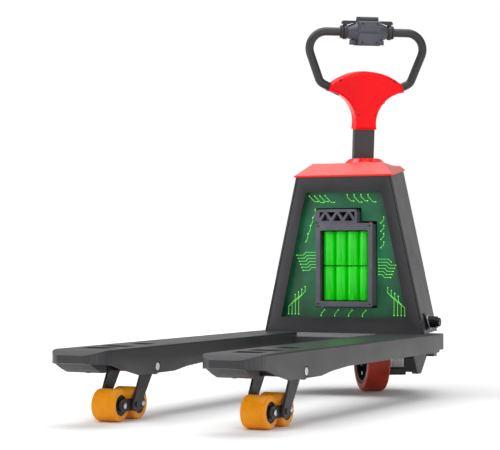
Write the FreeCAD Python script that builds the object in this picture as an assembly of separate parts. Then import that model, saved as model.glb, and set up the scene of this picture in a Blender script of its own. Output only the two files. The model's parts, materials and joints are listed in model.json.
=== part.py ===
"""Electric walkie pallet truck: two forks on tandem load wheels, a tapered battery housing and a steered drive unit.

Millimetres, +Z up, forks towards -Y, floor at Z = 0. Everything is drawn from the housing's front face (Y = 0)
and moved to the middle of the truck's length when it is saved. The forks are drawn fully raised.
"""
import os
from math import asin, atan2, cos, degrees, hypot, radians, sin, sqrt, tan

import FreeCAD
import Part

os.makedirs("parts", exist_ok=True)

# Overall sizes
FORK_LENGTH = 1150.0            # housing face to fork tip
BODY_LENGTH = 312.0             # housing face to rear cover
ROW_Y = (FORK_LENGTH - BODY_LENGTH) / 2
HALF_WIDTH = 280.0              # over the forks
LIFT = 98.0                     # fork travel, from 85 to 183 mm

# Forks
FORK_W = 152.0
FORK_TOP = 183.0
RAIL_H = 54.0
SHEET = 5.0
FORK_X = HALF_WIDTH - FORK_W / 2
FORK_REAR = 50.0
RAIL_REAR = 84.0
NOSE_Y = -1085.0
NOSE_H = 36.0
DEEP_Z = 115.0

# Load wheels and the arms that carry them
WHEEL_R = 40.0
WHEEL_W = 64.0
TANDEM = 88.0
BOGIE_Y = -924.0
PIVOT_Y = -866.0
PIVOT_Z = 131.0
PIVOT_R = 8.0
AXLE_R = 7.0
RUNNING = 0.05                  # radial clearance of a running fit
BOGIE_IN, BOGIE_OUT = 35.0, 40.0
ARM_IN, ARM_OUT = 45.0, 51.0
LUG_R = 30.0
ROD_R = 7.0

# Housing
SEAT = 0.5                      # the housing stands this much below the forks' load face
HOUSING_Z = FORK_TOP - SEAT
FACE_HALF_BOTTOM = 254.0
SIDE_SLOPE = 0.2237             # how fast the side closes in with height
SIDE_TAPER = 0.2126             # and towards the rear
TOP_FRONT_Z = 639.0
TOP_SLOPE = 0.103
HOUSING_DEPTH = 242.0
PANEL = 5.0
WINDOW_TOP_Z, WINDOW_TOP_HALF = 594.0, 120.0
WINDOW_LOW_Z, WINDOW_LOW_HALF = 225.0, 200.0
BOARD_Y = 18.0

# Battery pack
PACK_X0, PACK_X1 = -82.0, 97.0
PACK_Z0, PACK_Z1 = 258.0, 502.0
PACK_Y0, PACK_Y1 = -12.0, 42.0
BEZEL = 6.0
CELL_X0, CELL_X1 = -69.0, 84.0
CELL_Z0, CELL_Z1 = 274.0, 481.0
CELL_COLUMNS, CELL_ROWS = 4, 2
HANDLE_X1, HANDLE_H = 48.0, 41.0
BUTTON_X, BUTTON_Y = 86.0, 8.0

# Drive unit and steering
STEER_Y = 165.0
STEER_ANGLE = 36.4              # the drive wheel stands turned by this much
DRIVE_R = 105.0
DRIVE_W = 68.0
DRIVE_X = 21.0                  # wheel centre from the steering axis
COLUMN_R = 35.0
TURRET_TOP = 699.0
TURRET_LIP = 683.0
PLATE_Z = 240.0
PLATE_T = 12.0
POST_X, POST_Y, POST_R = 95.0, 105.0, 12.0
BARREL_R = 22.0

# Tiller
TILLER_BACK = 25.0              # tilt pin behind the steering axis
TILLER_Z = 690.0
TILLER_LEAN = 8.1               # forward of upright
BAR_W, BAR_T = 62.0, 31.0
TUBE_R = 12.5
GRIP_Z = 392.0                  # cross bar above the tilt pin
THROTTLE_R = 18.3               # the paddles' bore, over the head's collars


def vec(x, y, z):
    return FreeCAD.Vector(x, y, z)


def box(x0, x1, y0, y1, z0, z1):
    return Part.makeBox(x1 - x0, y1 - y0, z1 - z0, vec(x0, y0, z0))


def rod_x(r, x0, x1, y, z):
    return Part.makeCylinder(r, x1 - x0, vec(x0, y, z), vec(1, 0, 0))


def rod_y(r, y0, y1, x, z):
    return Part.makeCylinder(r, y1 - y0, vec(x, y0, z), vec(0, 1, 0))


def rod_z(r, z0, z1, x, y):
    return Part.makeCylinder(r, z1 - z0, vec(x, y, z0))


def prism(points, along):
    return Part.Face(Part.makePolygon(points + points[:1])).extrude(along)


def side_prism(outline, x0, x1):
    """Outline of (y, z) points, from x0 to x1."""
    return prism([vec(x0, y, z) for y, z in outline], vec(x1 - x0, 0, 0))


def face_prism(outline, y0, y1):
    """Outline of (x, z) points, from y0 to y1."""
    return prism([vec(x, y0, z) for x, z in outline], vec(0, y1 - y0, 0))


def plan_prism(outline, z0, z1):
    """Outline of (x, y) points, from z0 to z1."""
    return prism([vec(x, y, z0) for x, y in outline], vec(0, 0, z1 - z0))


def link_plate(ends, x0, x1):
    """Plate across X round two circles, each (y, z, r)."""
    (ya, za, ra), (yb, zb, rb) = ends
    length = hypot(yb - ya, zb - za)
    heading = atan2(zb - za, yb - ya)
    spread = asin((ra - rb) / length)
    corners = []
    for y, z, r, turn in ((ya, za, ra, 1), (yb, zb, rb, 1), (yb, zb, rb, -1), (ya, za, ra, -1)):
        angle = heading + turn * (radians(90) - spread)
        corners.append((y + r * cos(angle), z + r * sin(angle)))
    plate = side_prism(corners, x0, x1)
    return plate.fuse([rod_x(ra, x0, x1, ya, za), rod_x(rb, x0, x1, yb, zb)]).removeSplitter()


def soften(shape, radius, keep):
    """Rounds the edges that keep(edge) picks."""
    edges = [edge for edge in shape.Edges if keep(edge)]
    return shape.makeFillet(radius, edges)


def upright(edge):
    return edge.BoundBox.ZLength > 1 and edge.BoundBox.XLength < 0.1 and edge.BoundBox.YLength < 0.1


def along_x(edge):
    return edge.BoundBox.XLength > 1 and edge.BoundBox.YLength < 0.1 and edge.BoundBox.ZLength < 0.1


def along_y(edge):
    return edge.BoundBox.YLength > 1 and edge.BoundBox.XLength < 0.1 and edge.BoundBox.ZLength < 0.1


def mirrored(shape):
    return shape.mirror(vec(0, 0, 0), vec(1, 0, 0))


def both_sides(shape):
    return Part.makeCompound([shape, mirrored(shape)])


def steered(shape):
    """From the steering axis, facing straight ahead, to where the drive unit stands."""
    turned = shape.copy()
    turned.rotate(vec(0, 0, 0), vec(0, 0, 1), STEER_ANGLE)
    turned.translate(vec(0, STEER_Y, 0))
    return turned


def tilted(shape):
    """From the tilt pin, tiller upright, to where the tiller stands."""
    leant = shape.copy()
    leant.rotate(vec(0, 0, 0), vec(1, 0, 0), TILLER_LEAN)
    leant.translate(vec(0, TILLER_BACK, TILLER_Z))
    return steered(leant)


def save(name, shape):
    moved = shape.copy()
    moved.translate(vec(0, ROW_Y, 0))
    moved.exportStep(f"parts/{name}.step")


def half_width(y, z):
    """Outside half width of the housing at a depth and height."""
    return FACE_HALF_BOTTOM - SIDE_SLOPE * (z - HOUSING_Z) - SIDE_TAPER * y


def top_z(y):
    return TOP_FRONT_Z + TOP_SLOPE * y


# ---------------------------------------------------------------- forks

def fork_nose():
    """Tip that narrows on an ellipse and droops, as sections along Y."""
    wires = []
    steps = 7
    for i in range(steps + 1):
        t = 0.985 * sin(radians(90) * i / steps)
        y = NOSE_Y - (FORK_LENGTH + NOSE_Y) * t / 0.985
        half = (FORK_W / 2) * (0.36 + 0.64 * sqrt(1 - t * t))
        top = FORK_TOP - 12 * t * t
        low = FORK_TOP - NOSE_H + 6 * t * t
        corners = [(-half, low), (half, low), (half, top), (-half, top)]
        wires.append(Part.makePolygon([vec(FORK_X + x, y, z) for x, z in corners + corners[:1]]))
    return Part.makeLoft(wires, True, True)


def fork():
    outline = [
        (FORK_REAR, FORK_TOP), (NOSE_Y, FORK_TOP), (NOSE_Y, FORK_TOP - NOSE_H),
        (-1035, 133), (-955, DEEP_Z), (-780, DEEP_Z), (-715, 123), (-610, FORK_TOP - RAIL_H),
        (FORK_REAR, FORK_TOP - RAIL_H),
    ]
    x0, x1 = HALF_WIDTH - FORK_W, HALF_WIDTH
    body = side_prism(outline, x0, x1)
    body = soften(body, 4, lambda e: along_y(e) and e.CenterOfMass.z > FORK_TOP - 1)
    inside = box(x0 + SHEET, x1 - SHEET, NOSE_Y + SHEET, FORK_REAR + 1, 0, FORK_TOP - SHEET)
    body = body.cut(inside).fuse(fork_nose())
    rail = box(x1 - SHEET, x1, FORK_REAR, RAIL_REAR, FORK_TOP - RAIL_H + 7, FORK_TOP)
    heel = box(x1 - 40, x1, FORK_REAR, RAIL_REAR, FORK_TOP - SHEET, FORK_TOP)
    step = box(x1 - 30, x1 - SHEET - 1, 18, 44, FORK_TOP - RAIL_H - 10, FORK_TOP - SHEET)
    body = body.fuse([rail, heel, step])
    for y0, y1 in ((-1047, -987), (-959, -899)):
        body = body.cut(soften(box(FORK_X - 38, FORK_X + 38, y0, y1, 150, 200), 10, upright))
    body = body.cut(soften(box(FORK_X - 26, FORK_X + 26, -836, -780, 150, 200), 10, upright))
    for y in (-700, -40):
        web = box(x0 + SHEET, x1 - SHEET, y, y + 6, 136, FORK_TOP - SHEET)
        body = body.fuse(web.cut(rod_y(ROD_R + RUNNING, y - 1, y + 7, FORK_X, rod_height())))
    for inner, outer in ((x0, x0 + SHEET), (x1 - SHEET, x1)):
        body = body.cut(rod_x(13, inner, outer, PIVOT_Y, PIVOT_Z))
    for inner, outer in ((x0 + SHEET, x0 + 13), (x1 - 13, x1 - SHEET)):
        boss = rod_x(20, inner, outer, PIVOT_Y, PIVOT_Z)
        body = body.fuse(boss)
        body = body.cut(rod_x(PIVOT_R, inner, outer, PIVOT_Y, PIVOT_Z))
    seat = box(x0 - 1, x1 + 1, -1, RAIL_REAR + 1, HOUSING_Z, FORK_TOP + 1)
    return body.cut(seat).removeSplitter()


def fork_skid():
    """Wear shoe under the tip that runs up onto a pallet's boards."""
    outline = [(-1142, 158), (-1142, 152), (-1112, 137), (-1085, 127), (-1066, 127), (-1066, 147), (-1085, 147)]
    shoe = side_prism(outline, FORK_X - 50, FORK_X + 50)
    return shoe.cut(fork())


def pivot_bolt():
    """Bolt through both fork flanges, its round heads sunk in clearance holes."""
    x0, x1 = HALF_WIDTH - FORK_W, HALF_WIDTH
    shank = rod_x(PIVOT_R, x0 + SHEET, x1 - SHEET, PIVOT_Y, PIVOT_Z)
    heads = [rod_x(10, x0, x0 + SHEET, PIVOT_Y, PIVOT_Z), rod_x(10, x1 - SHEET, x1, PIVOT_Y, PIVOT_Z)]
    return shank.fuse(heads).removeSplitter()


def crossbeam():
    half = HALF_WIDTH - FORK_W
    low = FORK_TOP - RAIL_H
    outline = [(-60, low), (0, low), (0, FORK_TOP), (-48, FORK_TOP), (-60, FORK_TOP - 12)]
    beam = side_prism(outline, -half, half)
    return beam.cut(box(-half - 1, half + 1, -54, -6, low + 6, FORK_TOP - 14))


# ---------------------------------------------------------------- load wheel linkage

def swing_angle():
    """How far an arm swings while the forks travel their whole lift, in degrees."""
    length = hypot(PIVOT_Y - BOGIE_Y, PIVOT_Z - WHEEL_R)
    raised = degrees(asin((PIVOT_Z - WHEEL_R) / length))
    lowered = degrees(asin((PIVOT_Z - LIFT - WHEEL_R) / length))
    return raised - lowered


def rod_height():
    half = radians(swing_angle() / 2)
    return PIVOT_Z + LUG_R * (1 + cos(half)) / 2


def wheel_arm():
    """Two side plates on a hub tube, with a lug that the push rod works."""
    ends = [(PIVOT_Y, PIVOT_Z, 26), (BOGIE_Y, WHEEL_R, 17)]
    plates = [link_plate(ends, FORK_X + a, FORK_X + b) for a, b in ((-ARM_OUT, -ARM_IN), (ARM_IN, ARM_OUT))]
    hub = rod_x(15, FORK_X - 57, FORK_X + 57, PIVOT_Y, PIVOT_Z)
    tilt = radians(90 + swing_angle() / 2)
    lug_y = PIVOT_Y + LUG_R * cos(tilt)
    lug_z = PIVOT_Z + LUG_R * sin(tilt)
    lug = link_plate([(PIVOT_Y, PIVOT_Z, 14.5), (lug_y, lug_z, 12)], FORK_X - 5, FORK_X + 5)
    stubs = [
        rod_x(AXLE_R, FORK_X - ARM_OUT - 3, FORK_X - BOGIE_IN + 0.5, BOGIE_Y, WHEEL_R),
        rod_x(AXLE_R, FORK_X + BOGIE_IN - 0.5, FORK_X + ARM_OUT + 3, BOGIE_Y, WHEEL_R),
    ]
    arm = plates[0].fuse([plates[1], hub, lug] + stubs)
    arm = arm.cut(rod_x(PIVOT_R + RUNNING, FORK_X - 58, FORK_X + 58, PIVOT_Y, PIVOT_Z))
    return arm.cut(rod_x(8, FORK_X - 6, FORK_X + 6, lug_y, lug_z)).removeSplitter()


def bogie():
    """Side plates that carry both wheels, with the wheels' axles."""
    pieces = []
    for a, b in ((-BOGIE_OUT, -BOGIE_IN), (BOGIE_IN, BOGIE_OUT)):
        plate = link_plate([(BOGIE_Y - TANDEM / 2, WHEEL_R, 15), (BOGIE_Y + TANDEM / 2, WHEEL_R, 15.01)],
                           FORK_X + a, FORK_X + b)
        plate = plate.cut(rod_x(AXLE_R + RUNNING, FORK_X + a, FORK_X + b, BOGIE_Y, WHEEL_R))
        for y in (BOGIE_Y - TANDEM / 2, BOGIE_Y + TANDEM / 2):
            plate = plate.cut(rod_x(AXLE_R, FORK_X + a, FORK_X + b, y, WHEEL_R))
        pieces.append(plate)
    for y in (BOGIE_Y - TANDEM / 2, BOGIE_Y + TANDEM / 2):
        axle = rod_x(AXLE_R, FORK_X - BOGIE_OUT, FORK_X + BOGIE_OUT, y, WHEEL_R)
        heads = [
            rod_x(9, FORK_X - BOGIE_OUT - 3.5, FORK_X - BOGIE_OUT, y, WHEEL_R),
            rod_x(9, FORK_X + BOGIE_OUT, FORK_X + BOGIE_OUT + 3.5, y, WHEEL_R),
        ]
        pieces.append(axle.fuse(heads).removeSplitter())
    return Part.makeCompound(pieces)


def load_tread(y):
    tread = rod_x(WHEEL_R, FORK_X - WHEEL_W / 2, FORK_X + WHEEL_W / 2, y, WHEEL_R)
    tread = tread.makeFillet(5, [e for e in tread.Edges if e.Closed])
    return tread.cut(rod_x(26, FORK_X - WHEEL_W, FORK_X + WHEEL_W, y, WHEEL_R))


def load_hub(y):
    half = WHEEL_W / 2 + 1
    hub = rod_x(26, FORK_X - half + 3, FORK_X + half - 3, y, WHEEL_R)
    hub = hub.fuse(rod_x(13, FORK_X - half, FORK_X + half, y, WHEEL_R))
    return hub.cut(rod_x(AXLE_R + RUNNING, FORK_X - half, FORK_X + half, y, WHEEL_R))


def push_rod():
    """Round bar in the fork, with a clevis and a pin that takes up the lug's arc in its wide hole."""
    half = radians(swing_angle() / 2)
    pin_y = PIVOT_Y - LUG_R * sin(half)
    z = rod_height()
    bar = rod_y(ROD_R, pin_y + 24, 5, FORK_X, z)
    block = box(FORK_X - 12, FORK_X + 12, pin_y + 21, pin_y + 33, z - 8, z + 8)
    cheeks = [box(FORK_X + a, FORK_X + a + 5, pin_y - 8, pin_y + 21, z - 8, z + 8) for a in (-12, 7)]
    pin = rod_x(4, FORK_X - 12, FORK_X + 12, pin_y, z)
    return bar.fuse([block, pin] + cheeks).removeSplitter()


# ---------------------------------------------------------------- housing

def trapezoid(top_z_, top_half, low_z, low_half):
    return [(-low_half, low_z), (low_half, low_z), (top_half, top_z_), (-top_half, top_z_)]


def window_outline(grow):
    slope = (WINDOW_LOW_HALF - WINDOW_TOP_HALF) / (WINDOW_TOP_Z - WINDOW_LOW_Z)
    return trapezoid(WINDOW_TOP_Z + grow, WINDOW_TOP_HALF + grow * (1 - slope),
                     WINDOW_LOW_Z - grow, WINDOW_LOW_HALF + grow * (1 + slope))


def front_panel():
    edge = PANEL + 2
    outline = trapezoid(TOP_FRONT_Z, half_width(0, TOP_FRONT_Z) - edge, HOUSING_Z, half_width(0, HOUSING_Z) - edge)
    return face_prism(outline, 0, PANEL).cut(face_prism(window_outline(0), -1, PANEL + 1))


def side_panel():
    rear = HOUSING_DEPTH
    corners = [(0, HOUSING_Z), (rear, HOUSING_Z), (rear, top_z(rear)), (0, TOP_FRONT_Z)]
    skin = prism([vec(half_width(y, z), y, z) for y, z in corners], vec(-PANEL, 0, 0))
    return skin.cut(rod_x(17, 150, HALF_WIDTH, 70, 215))


def back_panel():
    """Upper rear wall, with the hole of the emergency stop."""
    y = HOUSING_DEPTH - PANEL
    edge = PANEL + 1
    low, high = 430, top_z(y)
    outline = trapezoid(high, half_width(HOUSING_DEPTH, high) - edge, low, half_width(HOUSING_DEPTH, low) - edge)
    return face_prism(outline, y, HOUSING_DEPTH).cut(rod_y(11, y, HOUSING_DEPTH, 0, 618))


def lid_wire(inset, rise, shrink=0.0):
    front, rear = -4 + inset + shrink, HOUSING_DEPTH + 4 - inset - shrink
    points = []
    for side, y in ((-1, front), (1, front), (1, rear), (-1, rear)):
        z = top_z(y) + rise
        points.append(vec(side * (half_width(y, top_z(y)) + 4 - inset - shrink), y, z))
    return points


def lid_crown(points, height):
    """Level top of the lid."""
    return Part.makePolygon([vec(p.x, p.y, height) for p in points + points[:1]])


def lid():
    top = TURRET_LIP - 3
    outer = [Part.makePolygon(lid_wire(i, r) + lid_wire(i, r)[:1]) for i, r in ((0, 0), (1, 5), (13, 16))]
    outer.append(lid_crown(lid_wire(36, 0), top))
    inner = [Part.makePolygon(lid_wire(i, r, 4) + lid_wire(i, r, 4)[:1]) for i, r in ((0, 0), (1, 2), (13, 12))]
    inner.append(lid_crown(lid_wire(36, 0, 4), top - 4))
    shell = Part.makeLoft(outer, True, True).cut(Part.makeLoft(inner, True, True))
    return shell.cut(rod_z(60, 600, 720, 0, STEER_Y))


def window_board():
    """Shallow tray behind the window, open where the battery pack slides in."""
    tray = face_prism(window_outline(6), PANEL, BOARD_Y + 4).cut(face_prism(window_outline(2), 0, BOARD_Y))
    tray = tray.cut(box(PACK_X0 - 12, PACK_X1 + 3, 0, 100, PACK_Z0 - 3, PACK_Z1 + 6))
    return tray.cut(box(PACK_X0 - 12, HANDLE_X1 + 3, 0, 100, PACK_Z1, PACK_Z1 + HANDLE_H + 4))


def guide_bracket():
    """Crossbar between the side panels, with the bushes that run on the guide posts."""
    y0, y1, z0, z1 = 84, 126, 500, 512
    reach = PANEL + 0.5
    bar = plan_prism([(-half_width(y0, z1) + reach, y0), (half_width(y0, z1) - reach, y0),
                      (half_width(y1, z1) - reach, y1), (-half_width(y1, z1) + reach, y1)], z0, z1)
    for x in (-POST_X, POST_X):
        bar = bar.fuse(rod_z(19, z0 - 24, z1, x, POST_Y))
    for x in (-POST_X, POST_X):
        bar = bar.cut(rod_z(POST_R + RUNNING, z0 - 30, z1 + 10, x, POST_Y))
    return bar.cut(rod_z(10, z0, z1, 0, POST_Y))


def cylinder_rod():
    """Chromed piston rod, its end nut on top of the crossbar."""
    return rod_z(12, 366, 500, 0, POST_Y).fuse([rod_z(10, 500, 512, 0, POST_Y), rod_z(14, 512, 522, 0, POST_Y)])


def link_pin():
    """Capped stub that stands out of the side panel on a square plate cut to the panel's slope."""
    y0, y1, z0, z1 = 46, 96, 192, 240
    corners = [(y0, z0), (y1, z0), (y1, z1), (y0, z1)]
    plate = prism([vec(half_width(y, z), y, z) for y, z in corners], vec(4, 0, 0))
    cap = rod_x(13, 266, 275, 70, 215)
    cap = cap.makeFillet(3, [e for e in cap.Edges if e.Closed and e.CenterOfMass.x > 274])
    return rod_x(17, 222, 266, 70, 215).fuse([cap, plate])


# ---------------------------------------------------------------- battery pack

def battery_case():
    case = box(PACK_X0 + 2, PACK_X1 - 2, PACK_Y0 + BEZEL, PACK_Y1, PACK_Z0 + 2, PACK_Z1 - 2)
    case = soften(case, 5, along_y)
    case = case.cut(box(CELL_X0 - 3, CELL_X1 + 3, PACK_Y0 + BEZEL, PACK_Y1 - 4, CELL_Z0 - 4, CELL_Z1 + 4))
    return case.cut(rod_z(4 + RUNNING, PACK_Z1 - 8, PACK_Z1, BUTTON_X, BUTTON_Y))


def battery_bezel():
    face = soften(box(PACK_X0, PACK_X1, PACK_Y0, PACK_Y0 + BEZEL, PACK_Z0, PACK_Z1), 7, along_y)
    window = box(CELL_X0, CELL_X1, PACK_Y0 - 1, PACK_Y0 + BEZEL + 1, CELL_Z0, CELL_Z1)
    return face.cut(soften(window, 4, along_y))


def battery_cells():
    cells = []
    pitch = (CELL_X1 - CELL_X0) / CELL_COLUMNS
    row = (CELL_Z1 - CELL_Z0) / CELL_ROWS
    for i in range(CELL_COLUMNS):
        for j in range(CELL_ROWS):
            x0 = CELL_X0 + i * pitch
            z0 = CELL_Z0 + j * row
            cell = box(x0 + 1, x0 + pitch - 1, PACK_Y0 + BEZEL + 3, PACK_Y1 - 4, z0 + 1, z0 + row - 1)
            cells.append(soften(cell, 3, upright))
    return Part.makeCompound(cells)


def battery_handle():
    """Carrying grip on top of the pack, a bar over a row of slanting ribs."""
    x0, x1, z0, z1 = PACK_X0 - 6, HANDLE_X1, PACK_Z1, PACK_Z1 + HANDLE_H
    outline = [(x0 + 10, z0), (x1, z0), (x1, z1 - 10), (x1 - 8, z1), (x0 + 10, z1), (x0, z1 - 10), (x0, z0 + 12)]
    grip = face_prism(outline, PACK_Y0 + 4, PACK_Y0 + 30)
    bays = 3
    left, right = x0 + 16, x1 - 8
    pitch = (right - left) / bays
    for i in range(bays):
        a = left + i * pitch
        b = a + pitch
        mid = (a + b) / 2
        low, high = z0 + 7, z1 - 8
        for outline in ([(a + 5, low), (b - 5, low), (mid, high - 4)], [(a, high), (mid - 5, high), (a, low + 8)],
                        [(mid + 5, high), (b, high), (b, low + 8)]):
            grip = grip.cut(face_prism(outline, PACK_Y0, PACK_Y0 + 40))
    return grip


def battery_button():
    return rod_z(4, PACK_Z1 - 6, PACK_Z1 + 3, BUTTON_X, BUTTON_Y)


# ---------------------------------------------------------------- drive chassis

def chassis_plate():
    edge = PANEL + 3
    outline = []
    for side, y in ((-1, 66), (1, 66), (1, HOUSING_DEPTH + 4), (-1, HOUSING_DEPTH + 4)):
        outline.append((side * (half_width(y, PLATE_Z + PLATE_T + LIFT) - edge), y))
    plate = plan_prism(outline, PLATE_Z, PLATE_Z + PLATE_T)
    plate = plate.cut(rod_z(COLUMN_R + RUNNING, PLATE_Z, PLATE_Z + PLATE_T, 0, STEER_Y))
    collar = rod_z(COLUMN_R + 14, PLATE_Z + PLATE_T, PLATE_Z + PLATE_T + 26, 0, STEER_Y)
    collar = collar.cut(rod_z(COLUMN_R + RUNNING, PLATE_Z, PLATE_Z + 60, 0, STEER_Y))
    return plate.fuse(collar).cut(rod_z(BARREL_R + 0.5, PLATE_Z + PLATE_T, PLATE_Z + 60, 0, POST_Y))


def chassis_cheek():
    """Side plate that hangs from the chassis plate, bent in at the top to stay inside the housing."""
    bend = face_prism([(192, 62), (198, 62), (198, 168), (184, PLATE_Z), (178, PLATE_Z), (192, 167)], 50, 170)
    outline = side_prism([(66, PLATE_Z), (120, PLATE_Z), (125, 168), (165, 126), (165, 110), (118, 62), (90, 62),
                          (62, 110), (62, 200)], 170, 210)
    foot = box(180, 192, 90, 118, 62, 68)
    return bend.common(outline).fuse(foot).removeSplitter()


def guide_posts():
    return both_sides(rod_z(POST_R, PLATE_Z + PLATE_T, 536, POST_X, POST_Y))


def lift_cylinder():
    barrel = rod_z(BARREL_R, PLATE_Z + PLATE_T, 396, 0, POST_Y)
    gland = rod_z(25, 380, 396, 0, POST_Y)
    return barrel.fuse(gland).cut(rod_z(12 + RUNNING, 262, 400, 0, POST_Y)).removeSplitter()


def power_pack():
    """Pump motor standing on its oil tank."""
    floor = PLATE_Z + PLATE_T
    tank = soften(box(-122, -54, 136, 204, floor, floor + 54), 8, upright)
    motor = rod_z(31, floor + 54, floor + 138, -88, 170)
    port = rod_z(6, floor + 54, floor + 66, -62, 144)
    return tank.fuse([motor, port]).removeSplitter()


def controller_box():
    floor = PLATE_Z + PLATE_T
    case = soften(box(54, 122, 136, 204, floor, floor + 62), 6, upright)
    fins = [box(58 + 8 * i, 61 + 8 * i, 140, 200, floor + 62, floor + 74) for i in range(8)]
    return case.fuse(fins).removeSplitter()


def rear_cover():
    """Moulded shell over the back of the drive unit."""
    def section(z, half, depth, thin):
        y0, y1 = HOUSING_DEPTH + 4, HOUSING_DEPTH + 4 + depth - thin
        w = half - thin
        pts = [(-w, y0), (w, y0), (w * 0.92, (y0 + y1) / 2), (w * 0.66, y1), (-w * 0.66, y1), (-w * 0.92, (y0 + y1) / 2)]
        return Part.makePolygon([vec(x, y, z) for x, y in pts + pts[:1]])
    depth = BODY_LENGTH - HOUSING_DEPTH - 4
    outer = Part.makeLoft([section(215, 165, depth, 0), section(370, 132, depth - 8, 0), section(490, 96, 34, 0)],
                          True, True)
    inner = Part.makeLoft([section(214, 165.2, depth, 4), section(370, 132, depth - 8, 4), section(486, 97, 34, 4)],
                          True, True)
    shell = outer.cut(inner)
    return shell.cut(box(-200, 200, HOUSING_DEPTH, HOUSING_DEPTH + 5, 200, 484))


def charge_port():
    case = soften(box(162, 192, 70, 118, 68, 112), 4, along_x)
    return case.cut(rod_y(11, 112, 119, 177, 92))


# ---------------------------------------------------------------- drive unit (drawn from the steering axis)

def drive_bracket():
    """Bridge over the drive wheel with a cheek on each side."""
    bridge = box(-28, 64, -58, 58, 222, 234)
    left = side_prism([(-46, 234), (46, 234), (46, 150), (26, 80), (-26, 80), (-46, 150)], -28, -20)
    right = side_prism([(-58, 234), (58, 234), (58, 100), (36, 62), (-36, 62), (-58, 100)], 58, 64)
    stub = rod_x(12, -28, 58, 0, DRIVE_R)
    return bridge.fuse([left, right, stub]).removeSplitter()


def drive_motor():
    """Wheel motor with its brake on the end."""
    body = rod_x(51, 64, 118, 0, DRIVE_R)
    rim = rod_x(54, 64, 70, 0, DRIVE_R)
    foot = soften(box(70, 118, -34, 34, DRIVE_R - 56, DRIVE_R), 6, along_x)
    ring = rod_x(49, 118, 124, 0, DRIVE_R)
    brake = rod_x(43, 124, 138, 0, DRIVE_R)
    return body.fuse([rim, foot, ring, brake]).removeSplitter()


def drive_tyre():
    tyre = rod_x(DRIVE_R, DRIVE_X - DRIVE_W / 2, DRIVE_X + DRIVE_W / 2, 0, DRIVE_R)
    tyre = tyre.makeFillet(9, [e for e in tyre.Edges if e.Closed])
    return tyre.cut(rod_x(84, DRIVE_X - DRIVE_W, DRIVE_X + DRIVE_W, 0, DRIVE_R))


def drive_hub():
    """Rim with a dished web and five round windows."""
    half = DRIVE_W / 2 - 2
    hub = rod_x(84, DRIVE_X - half, DRIVE_X + half, 0, DRIVE_R)
    hub = hub.cut(rod_x(72, DRIVE_X - half, DRIVE_X - half + 22, 0, DRIVE_R))
    hub = hub.fuse(rod_x(30, DRIVE_X - half - 1, DRIVE_X - half + 22, 0, DRIVE_R))
    for i in range(5):
        a = radians(72 * i + 18)
        hub = hub.cut(rod_x(13, DRIVE_X - half + 12, DRIVE_X - half + 30, 51 * cos(a), DRIVE_R + 51 * sin(a)))
    return hub.cut(rod_x(12 + RUNNING, DRIVE_X - half - 2, DRIVE_X + half + 1, 0, DRIVE_R))


def steer_column():
    return rod_z(COLUMN_R, 234, 640, 0, 0)


def turret_cap():
    """Head of the steering column, slotted so that the tiller can tilt back."""
    profile = [(0, 640), (50, 640), (50, TURRET_LIP - 6), (50, TURRET_LIP), (62, TURRET_LIP), (60, TURRET_LIP + 4),
               (49, TURRET_TOP - 2), (45, TURRET_TOP), (0, TURRET_TOP)]
    cap = Part.Face(Part.makePolygon([vec(r, 0, z) for r, z in profile + profile[:1]])).revolve(vec(0, 0, 0), vec(0, 0, 1))
    slot = box(-BAR_W / 2 - 0.6, BAR_W / 2 + 0.6, 6, 80, 672, TURRET_TOP + 1)
    return cap.cut(slot).cut(rod_x(6, -48, 48, TILLER_BACK, TILLER_Z))


def tilt_pin():
    return rod_x(6, -47, 47, TILLER_BACK, TILLER_Z)


# ---------------------------------------------------------------- tiller (drawn from the tilt pin)

def drawbar():
    """Flat tube on the tilt pin."""
    tube = soften(box(-BAR_W / 2, BAR_W / 2, -BAR_T / 2, BAR_T / 2, 0, 196), 4, upright)
    tube = tube.cut(box(-BAR_W / 2 + 3, BAR_W / 2 - 3, -BAR_T / 2 + 3, BAR_T / 2 - 3, 24, 197))
    tube = tube.fuse(rod_x(BAR_T / 2, -BAR_W / 2, BAR_W / 2, 0, 0))
    return tube.cut(rod_x(6 + RUNNING, -BAR_W / 2, BAR_W / 2, 0, 0)).removeSplitter()


def rounded_path(points, radii):
    """Straight runs joined by tangent arcs, in the XZ plane."""
    edges = []
    start = vec(points[0][0], 0, points[0][1])
    for i in range(1, len(points) - 1):
        corner = vec(points[i][0], 0, points[i][1])
        before = vec(points[i - 1][0], 0, points[i - 1][1]) - corner
        after = vec(points[i + 1][0], 0, points[i + 1][1]) - corner
        before.normalize()
        after.normalize()
        half = before.getAngle(after) / 2
        reach = radii[i - 1] / tan(half)
        bisector = before + after
        bisector.normalize()
        a = corner + before * reach
        b = corner + after * reach
        mid = corner + bisector * (radii[i - 1] / sin(half) - radii[i - 1])
        edges.append(Part.LineSegment(start, a).toShape())
        edges.append(Part.Arc(a, mid, b).toShape())
        start = b
    edges.append(Part.LineSegment(start, vec(points[-1][0], 0, points[-1][1])).toShape())
    return Part.Wire(edges)


def handle_loop():
    """One bent tube, both ends in the cover."""
    side = [(78, 212), (139, 240), (197, GRIP_Z)]
    points = side + [(-x, z) for x, z in reversed(side)]
    path = rounded_path(points, [30, 50, 50, 30])
    direction = path.Edges[0].tangentAt(path.Edges[0].FirstParameter)
    profile = Part.Wire(Part.makeCircle(TUBE_R, vec(78, 0, 212), direction))
    return path.makePipeShell([profile], True, False)


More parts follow.
